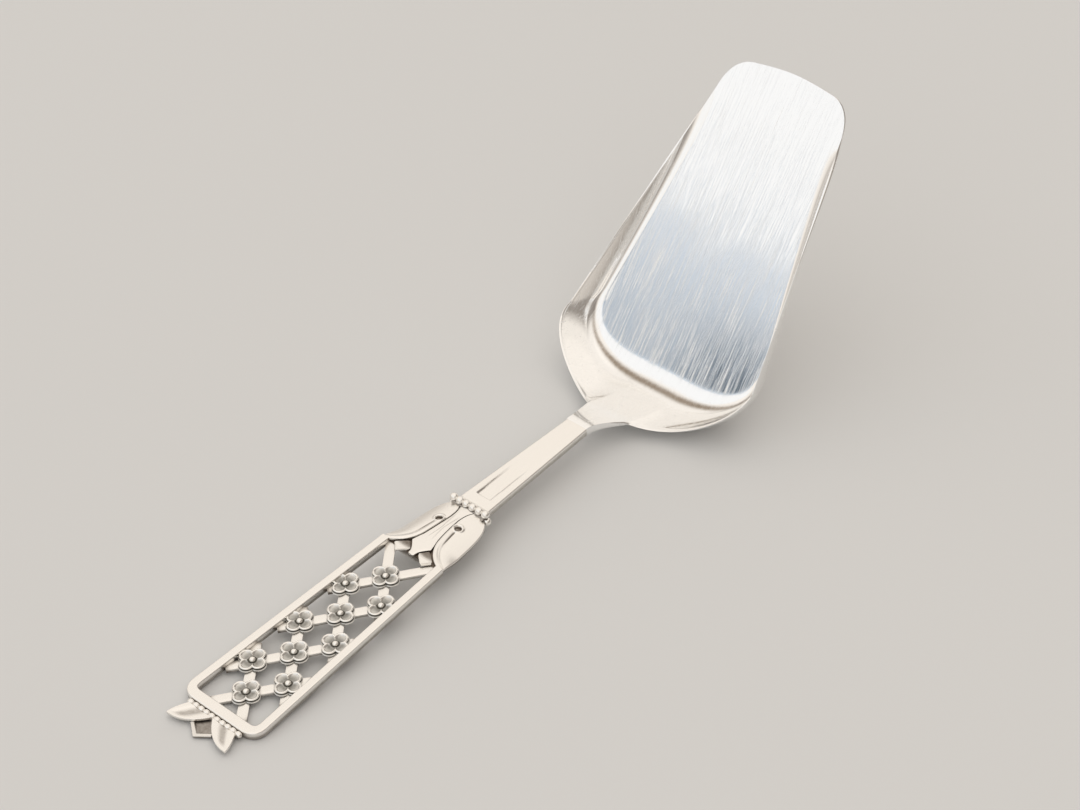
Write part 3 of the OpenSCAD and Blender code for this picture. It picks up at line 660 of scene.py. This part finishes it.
def make_drop():
    """Drop between the scroll plates, its width read along its edge: beside the plates, out to two corners
    and in to a blunt point. Its top is domed, with two grooves fanning out, and follows the crown."""
    to_corner = bend(FLARE - (0, SEAT_GAP), (17, 2.9), (18.4, 3.2), RUN[1:])
    to_point = bend((18.6, 3.2), (20.6, 1.3), (21.6, 1.05), RUN)
    point = [(22.5, 0.9), (22.8, 0.7), (22.9, 0.4)]
    line = np.vstack([BESIDE_DROP - (0, SEAT_GAP), to_corner, to_point, point])
    s = np.concatenate([np.linspace(COLLAR_LEN / 2, 22.4, 130), np.linspace(22.45, 22.9, 10)])
    width = np.interp(s, line[:, 0], line[:, 1])

    def groove(x, y):
        """Share of the two grooves, closest at s = 10.5 and fading at both ends."""
        fan = 0.25 + 0.10 * np.abs(-x - 10.5)
        return hump(fan, 0.14, np.abs(y)) * soft_step(3.5, 6.5, -x) * soft_step(17, 13.5, -x)

    def relief(x, y, share):
        return -DROP_DOME * share ** 2 - DROP_GROOVE * groove(x, y)

    grid, _ = bar(plan(s, 0), plan(0 * s, width), -RAISED_T, DROP_T - RAISED_T, DROP_EDGE, 41, 4, relief)
    # Painted shade down the drop's walls and along its two grooves
    walls = 0.7 * soft_step(-0.5, -0.75, grid[..., 2])
    dark = np.maximum(walls, 0.4 * groove(grid[..., 0], grid[..., 1]))
    grid[..., 2] += crown(grid[..., 0], grid[..., 1])
    drop = Work()
    drop.add(grid, dark, caps=True)
    drop.finish("silver_drop", "handle_silver", "drop")


def make_tabs():
    """Lozenge tabs beside the end of the drop, between four corners, each cupped by the fourth powers of the
    shares along and across."""
    near, far = np.array([19.0, 3.45]), np.array([21.4, 1.35])
    front, back = np.array([21.7, 6.6]), np.array([24.0, 4.35])
    b = np.linspace(0, 1, 41)[:, None]
    mid = mixed((near + far) / 2, (front + back) / 2, b)
    reach = mixed((near - far) / 2, (front - back) / 2, b) * (1 - 0.18 * np.abs(2 * b - 1) ** 6)
    length = mid[-1] - mid[0]
    for side, name in ((1, "left_tab"), (-1, "right_tab")):
        def hollow(x, y, share):
            along = (np.stack([-x, side * y], -1) - mid[0]) @ length
            along = 2 * along / (length ** 2).sum() - 1
            return -TAB_HOLLOW * np.clip(1 - share ** 4, 0, 1) * np.clip(1 - along ** 4, 0, 1)

        grid, _ = bar(plan(mid[:, 0], side * mid[:, 1]), plan(reach[:, 0], side * reach[:, 1]),
                      -RAISED_T, TAB_T - RAISED_T, TAB_EDGE, 31, 4, hollow)
        # Painted shade: darker towards the front end beside the scroll, and on the lower sides
        dark = 0.75 * soft_step(22.3, 20.2, -grid[..., 0]) + 0.3 * (grid[..., 2] < -1.0)
        tab = Work()
        tab.add(grid, dark, caps=True)
        tab.finish("silver_" + name, "handle_silver", name)


# Frame

def rail_y(s):
    """Middle of a rail at s."""
    return rail_half(s) - RAIL_W / 2


def make_frame():
    """Frame: a rounded bar down one rail, round the end and up the other; its width turns from the rail's to
    the end bar's through the corners, and its top is gently domed."""
    end, corner = END_S - BAR_W / 2, FRAME_ROUND
    s = np.linspace(SHOULDER_S, end - corner, 70)
    rail = np.stack([s, rail_y(s)], -1)
    round_in = bend((end - corner, rail_y(end - corner)), (end, rail_y(end)), (end, rail_y(end) - corner),
                    steps(18))[1:]
    y = np.linspace(rail_y(end) - corner, 0, 30)
    half = np.vstack([rail, round_in, np.stack([0 * y + end, y], -1)])
    line = np.vstack([half, half[-2::-1] * (1, -1)])
    wide = np.concatenate([0 * s + RAIL_W, np.linspace(RAIL_W, BAR_W, len(round_in)), 0 * y + BAR_W]) / 2
    wide = np.concatenate([wide, wide[-2::-1]])[:, None]
    way = np.gradient(line, axis=0)
    way /= np.linalg.norm(way, axis=1, keepdims=True)
    side = np.stack([way[:, 1], way[:, 0], 0 * way[:, 0]], -1) * wide

    def dome(x, y, share):
        return -FRAME_DOME * share ** 2

    grid, _ = bar(plan(line[:, 0], line[:, 1]), side, -FRAME_T, 0, FRAME_EDGE, 17, 6, dome)
    work = Work()
    # Painted shade on the lower part of the frame's side walls, standing in for their dark reflection
    work.add(grid, 0.6 * soft_step(-0.7, -1.4, grid[..., 2]), caps=True)
    work.finish("silver_handle_frame", "handle_silver", "handle_frame")


# Trellis

STRAP_ANGLE = math.atan(ROW_W / (PITCH / 2))
STRAP_LOW, BLOSSOM_LOW = -FRAME_T, -FRAME_T + STRAP_T
BLOSSOM_TOP = BLOSSOM_LOW + BLOSSOM_T


def middle_s(i):
    """Distance of crossing i of the middle row behind the collar."""
    return FIRST_S + i * PITCH


def make_strap(node, i, way):
    """Strap through crossing i of the middle row, leaning left where way is 1 and right where it is -1: a
    straight domed bar that ends in the rails, the shoulder or the end bar. Where straps cross, those leaning
    left are halved from above and the others from below."""
    cos, sin = math.cos(STRAP_ANGLE), math.sin(STRAP_ANGLE)
    gain = (END_HALF - SHOULDER_HALF) / (END_S - SHOULDER_S)
    room = rail_half(middle_s(i)) - RAIL_W
    front = min(room / (sin + gain * cos), (middle_s(i) - SHOULDER_S) / cos) + STRAP_SEAT
    back = min(room / (sin - gain * cos), (END_S - BAR_W - middle_s(i)) / cos) + STRAP_SEAT
    others = np.arange(max(0, i - 1), min(MIDDLE_COUNT - 1, i + 1) + 1)
    cross = (i - others) * PITCH / 2 / cos
    cuts = cross[:, None] + np.array([-LAP_HALF - LAP_STEP, -LAP_HALF, LAP_HALF, LAP_HALF + LAP_STEP])
    t = np.sort(np.concatenate([np.linspace(-back, front, 90), cuts.ravel()]))
    t = t[(t >= -back) & (t <= front)]
    off = np.abs(t[:, None] - cross).min(1)
    mid = STRAP_LOW + STRAP_T / 2
    low = np.where((off <= LAP_HALF) & (way < 0), mid, STRAP_LOW)
    high = np.where((off <= LAP_HALF) & (way > 0), mid, BLOSSOM_LOW)
    path = np.stack([t * cos - middle_s(i), way * t * sin, 0 * t], -1)
    side = np.broadcast_to(np.array([-way * sin, cos, 0]) * STRAP_W / 2, path.shape)

    def dome(x, y, share):
        return -STRAP_DOME * share ** 2

    grid, share = bar(path, side, low, high, STRAP_EDGE, 15, 4, dome)
    # Painted shade near the blossoms, at the strap ends, on the lower sides and towards the edges of the dome
    near_blossom = hump(2.9, 0.7, off)[:, None]
    from_end = np.minimum(t + back, front - t) - STRAP_SEAT
    near_end = np.exp(-from_end.clip(0) / 0.7)[:, None]
    dark = 0.45 * near_blossom + 0.5 * near_end + 0.35 * (grid[..., 2] < STRAP_LOW + 0.6)
    strap = Work()
    strap.add(grid, dark + 0.15 * soft_step(0.6, 1, np.abs(share)), caps=True)
    strap.finish("silver_" + node, "handle_silver", node)


def make_blossom(node, s, y):
    """Blossom: its outline at an angle is the far side of the nearest petal's circle. The top is a four-lobed
    dish: it drops inside a narrow rim round each petal, stays up in ridges at the notches, and is deepest in
    a ring round the pellet. The wall draws in under the rim and flares again at its foot."""
    about = np.linspace(0, 2 * math.pi, 145)[None, :-1]
    off = np.mod(about + math.pi / 4, math.pi / 2) - math.pi / 4
    outline = PETAL_OUT * np.cos(off) + np.sqrt(PETAL_R ** 2 - (PETAL_OUT * np.sin(off)) ** 2)
    share = np.concatenate([np.linspace(0, 0.9, 40), np.linspace(0.915, 1, 8)])[:, None]
    out = share * outline
    from_petal = np.sqrt(out ** 2 + PETAL_OUT ** 2 - 2 * out * PETAL_OUT * np.cos(off))
    cup = soft_step(PETAL_R - CUP_RIM, PETAL_R - CUP_FOOT, from_petal)
    ring = soft_step(HEART_OUT, HEART_IN, out)
    hollow = np.maximum(cup * (0.75 + 0.25 * soft_step(3.2, 1.4, out)), ring)
    turn_down = soft_step(PETAL_R - PETAL_FALL_W, PETAL_R, from_petal) * soft_step(0.6, 0.9, share)
    top = BLOSSOM_TOP - CUP_DEPTH * hollow - PETAL_FALL * turn_down
    # Painted shade in the petal cups and in the ring round the pellet
    top_dark = np.maximum(0.52 * cup ** 0.7 * (0.7 + 0.5 * soft_step(3.4, 1.6, out)), 0.9 * ring)

    wall_fall = np.array([0.08, 0.3, 0.6, 0.85, 0.93, 1.0])[:, None]
    wall_flare = np.array([0.0, -0.10, -0.10, 0.12, 0.26, 0.26])[:, None]
    # Painted shade down the wall, deepest under the rim, and on the foot
    wall_dark = np.array([0.3, 0.95, 0.95, 0.45, 0.3, 0.5])[:, None]
    foot_dark = 0.7
    radius = np.vstack([out, out[-1:] + wall_flare, out[-1:] * 0.5, out[-1:] * 0.0])
    height = np.vstack([top, mixed(top[-1:], BLOSSOM_LOW, wall_fall), 0 * out[:2] + BLOSSOM_LOW])
    dark = np.vstack([top_dark, wall_dark + 0 * out[:1], 0 * out[:2] + foot_dark])
    grid = np.stack([radius * np.cos(about) - s, radius * np.sin(about) + y, height], -1)
    limit = rail_half(-grid[..., 0]) - RAIL_W + 0.05
    grid[..., 1] = np.clip(grid[..., 1], -limit, limit)
    work = Work()
    work.add(grid, dark)
    work.finish("silver_" + node, "blossom_silver", node)


def make_trellis():
    """Trellis: the straps each way, a blossom on each crossing of the middle row and the two side rows, and a
    ball for its pellet."""
    for way, letter in ((1, "a"), (-1, "b")):
        for i in range(MIDDLE_COUNT):
            make_strap("strap_%s%d" % (letter, i + 1), i, way)
    places = [("blossom_c%d" % (i + 1), middle_s(i), 0.0) for i in range(MIDDLE_COUNT)]
    places += [("blossom_%s%d" % (letter, i + 1), middle_s(i + 0.5), side * ROW_W)
               for letter, side in (("l", 1), ("r", -1)) for i in range(SIDE_COUNT)]
    pellets = Work()
    for node, s, y in places:
        make_blossom(node, s, y)
        grid = ball((-s, y, BLOSSOM_TOP - PELLET_SINK), PELLET_R)
        # Painted shade on the pellet's lower part
        pellets.add(grid, 0.9 * soft_step(-0.55, -1.1, grid[..., 2]))
    pellets.finish("silver_pellets", "blossom_silver", "pellets")


# Finial

def make_end_beads():
    """Row of balls behind the end bar, drawn out along the row and flattened before and behind."""
    beads = Work()
    step = (BAR_LEN - 2 * BAR_BEAD_R) / (BAR_BEADS - 1)
    for i in range(BAR_BEADS):
        middle = (i - (BAR_BEADS - 1) / 2) * step
        grid = ball((-BAR_MID, middle, -FRAME_T / 2 + BAR_BEAD_RISE), BAR_BEAD_R)
        grid[..., 1] = middle + BAR_BEAD_STRETCH * (grid[..., 1] - middle)
        grid[..., 0] = np.clip(grid[..., 0], -BAR_BACK - BAR_BEAD_BITE, -END_S + BAR_BEAD_BITE)
        # Painted shade on the beads' lower parts and where they meet the end bar
        below = 0.6 * soft_step(-0.7, -1.4, grid[..., 2])
        at_bar = 0.7 * soft_step(-END_S - 0.35, -END_S - 0.05, grid[..., 0])
        beads.add(grid, np.maximum(below, at_bar))
    beads.finish("silver_end_bead_bar", "handle_silver", "end_bead_bar")


def make_leaves():
    """Leaves between an outer and an inner bend that meet at the tip, each with a hollow along its middle
    that fades out towards the tip."""
    q = np.concatenate([np.linspace(0, 0.9, 80), np.linspace(0.9, 0.995, 30)[1:]])[:, None]
    tip = (LEAF_S, LEAF_REACH)
    outer = bend((BAR_BACK, LEAF_REACH - 2.1), (LEAF_S - 2.2, LEAF_REACH - 0.1), tip, q)
    inner = bend((BAR_BACK, LEAF_ROOT), (LEAF_S + 0.4, 0.45 * LEAF_REACH), tip, q)

    def fade(x):
        return soft_step(LEAF_S - 0.2, LEAF_S - 2.2, -x)

    def hollow(x, y, share):
        return -LEAF_HOLLOW * soft_step(0.8, 0.05, np.abs(share)) * fade(x)

    for side, node in ((1, "left_leaf"), (-1, "right_leaf")):
        reach = (outer - inner) / 2 * (1, side)
        mid = (outer + inner) / 2 * (1, side)
        grid, share = bar(plan(mid[:, 0], mid[:, 1]), plan(reach[:, 0], reach[:, 1]),
                          -LEAF_SINK - LEAF_T, -LEAF_SINK, LEAF_EDGE, 61, 4, hollow)
        # Painted shade along the hollow, fading towards the tip, and on the lower sides
        dark = 0.5 * soft_step(0.6, 0.1, np.abs(share)) * fade(grid[..., 0])
        leaf = Work()
        leaf.add(grid, np.maximum(dark, 0.45 * soft_step(-0.55, -0.8, grid[..., 2])), caps=True)
        leaf.finish("silver_" + node, "handle_silver", node)


def make_bud():
    """Pointed bud under the leaves, between a front and a back edge of straight runs, hollow inside a raised
    back edge."""
    wide, high = 0.35 * LEAF_REACH, -LEAF_SINK - LEAF_T

    def back_s(y):
        """Back edge at y."""
        return np.interp(np.abs(y), [0.1, wide], [BUD_S, LEAF_S - 1.7])

    def hollow(x, y, share):
        return -BUD_HOLLOW * soft_step(0.9, 1.7, back_s(y) + x)

    y = np.linspace(-wide + 0.02, wide - 0.02, 81)
    front, back = np.interp(np.abs(y), [2.2, wide], [BAR_BACK, LEAF_S - 1.75]), back_s(y)
    grid, _ = bar(plan((front + back) / 2, y), plan((back - front) / 2, 0 * y),
                  high - BUD_T, high, BUD_EDGE, 41, 4, hollow)
    bud = Work()
    # Painted shade below the raised edge, in the hollow and down the sides, over a slight even darkening
    bud.add(grid, np.maximum(0.65 * soft_step(-0.12, -0.3, grid[..., 2] - high), 0.25), caps=True)
    bud.finish("silver_bud", "handle_silver", "bud")


# Table, light and camera

TABLE_HALF = 4.0
TABLE_TONES = ((0.70, 0.705, 0.705, 1), (0.73, 0.735, 0.735, 1))

ROOM_LOW, ROOM_HIGH, NEAR_SIDE = (0.58, 0.53, 0.48, 1), (0.98, 0.92, 0.85, 1), (0.33, 0.295, 0.265, 1)
SKY_LOW, SKY_HIGH, SKY_DUSK = (0.47, 0.525, 0.59, 1), (0.64, 0.70, 0.775, 1), (0.15, 0.18, 0.215, 1)
WHITE, SECOND_WHITE, OVERHEAD = (1.0, 1.0, 1.0, 1), (0.99, 0.98, 0.965, 1), (1.06, 0.995, 0.92, 1)
NOTCH_AT, NOTCH_DEPTH, EDGE_SLANT = 147.5, 0.7, 0.19

LENS, SENSOR = 80.0, 36.0
CAMERA_PLACE, CAMERA_TURN = (-0.3688630, -0.3208663, 0.4210334), (51.4377846, -0.4023875, -49.3560409)


def make_table():
    """Plain pale table top, flat and far wider than the view."""
    h = TABLE_HALF
    mesh = bpy.data.meshes.new("table")
    mesh.from_pydata([(-h, -h, 0), (h, -h, 0), (h, h, 0), (-h, h, 0)], [], [(0, 1, 2, 3)])
    paint = bpy.data.materials.new("table_paint")
    start = emptied(paint)
    mottle = start.noise(start.add("ShaderNodeTexCoord", out="Object"), 3.0, 2.0)
    tone = mottle.colours(*TABLE_TONES)
    skin = start.add("ShaderNodeBsdfPrincipled", {}, {"Base Color": tone, "Roughness": 0.75})
    start.add("ShaderNodeOutputMaterial", {}, {"Surface": skin})
    mesh.materials.append(paint)
    table = bpy.data.objects.new("table", mesh)
    scene.collection.objects.link(table)


def make_light():
    """Studio light: a warm room, brighter above than low down and dim on its near side. In it hang a
    blue-grey patch that darkens to one lower corner, a white panel over it with a slanting, notched lower
    edge, a second white panel beside that, and a warm light overhead. Angles are in degrees, round and up."""
    world = bpy.data.worlds.new("studio")
    scene.world = world
    start = emptied(world)
    place = start.add("ShaderNodeTexCoord", out="Generated")
    x, y, z = (start.add("ShaderNodeSeparateXYZ", {}, {"Vector": place}, name) for name in "XYZ")
    degrees = 180 / math.pi
    up = start.sum("ARCSINE", z, 0.0) * degrees
    side = start.sum("ARCTAN2", y * -1.0, x * -1.0) * degrees + 180.0

    def panel(left, right, low, high, soft, foot=4.0, lift=0.0):
        """Share inside the angles left to right and low to high; its edges are soft degrees wide to each
        side, its lower edge foot degrees, and that edge is lowered by lift."""
        return (side.between(left - soft, left + soft) * side.between(right + soft, right - soft)
                * (up + lift).between(low - foot, low + foot) * up.between(high + soft, high - soft))

    tone = up.between(0, 26).colours(ROOM_LOW, ROOM_HIGH)
    for left, right in ((240, 420), (-60, 2)):
        tone = panel(left, right, -10, 40, 12).colours(tone, NEAR_SIDE)
    sky = up.between(24.2, 27.2).colours(SKY_LOW, SKY_HIGH)
    dusk = side.between(148.0, 150.2) * up.between(27.4, 25.4)
    sky = dusk.colours(sky, SKY_DUSK)
    tone = panel(142.5, 160, 22.5, 40, 1.5, 1.0).colours(tone, sky)
    notch = side.between(NOTCH_AT - 0.7, NOTCH_AT) * side.between(NOTCH_AT + 0.6, NOTCH_AT) * NOTCH_DEPTH
    lowered = (NOTCH_AT - side) * EDGE_SLANT + notch
    tone = panel(116, 168, 27.85, 56, 6, 0.25, lowered).colours(tone, WHITE)
    tone = panel(168, 222, 14, 54, 8).colours(tone, SECOND_WHITE)
    tone = up.between(60, 70).colours(tone, OVERHEAD)
    room = start.add("ShaderNodeBackground", {}, {"Color": tone, "Strength": 1.0})
    start.add("ShaderNodeOutputWorld", {}, {"Surface": room})


def make_camera():
    """Camera at the picture's place: a long lens, looking down along the handle towards the blade."""
    lens = bpy.data.cameras.new("view")
    lens.lens, lens.sensor_width, lens.sensor_fit = LENS, SENSOR, "HORIZONTAL"
    camera = bpy.data.objects.new("view", lens)
    camera.location = CAMERA_PLACE
    camera.rotation_euler = tuple(math.radians(a) for a in CAMERA_TURN)
    scene.collection.objects.link(camera)
    scene.camera = camera


make_blade()
make_stem()
make_collar()
make_shoulder_plate()
make_scrolls()
make_drop()
make_tabs()
make_frame()
make_trellis()
make_end_beads()
make_leaves()
make_bud()
make_table()
make_light()
make_camera()
